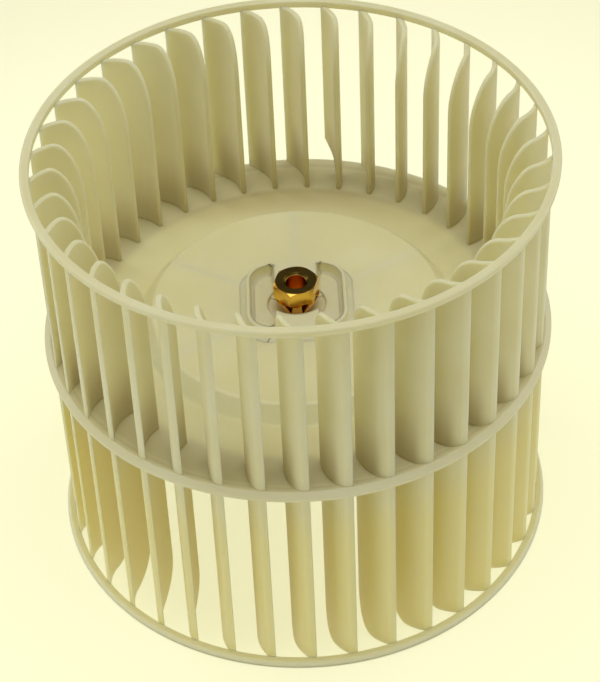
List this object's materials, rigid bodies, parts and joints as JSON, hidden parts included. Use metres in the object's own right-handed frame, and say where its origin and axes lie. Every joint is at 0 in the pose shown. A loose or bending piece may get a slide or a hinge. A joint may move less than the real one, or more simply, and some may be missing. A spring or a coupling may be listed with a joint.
{
  "type": "double inlet blower wheel",
  "caption": "Double-inlet blower wheel with forward-curved blades on both sides of a middle disc, slim end rings and a brass hub insert.",
  "frame": {"origin": "on the wheel's axis, at the level of the bottom ring's underside", "axes": "+Z along the axis, towards the inlet that shows the insert's collar; the picture looks along +Y"},
  "size_m": [0.15, 0.15, 0.133],
  "materials": {
    "ivory_plastic": "satin",
    "brass": "turned"
  },
  "bodies": {
    "root": {"wheel": "ivory_plastic", "brass_insert": "brass"}
  },
  "joints": []
}
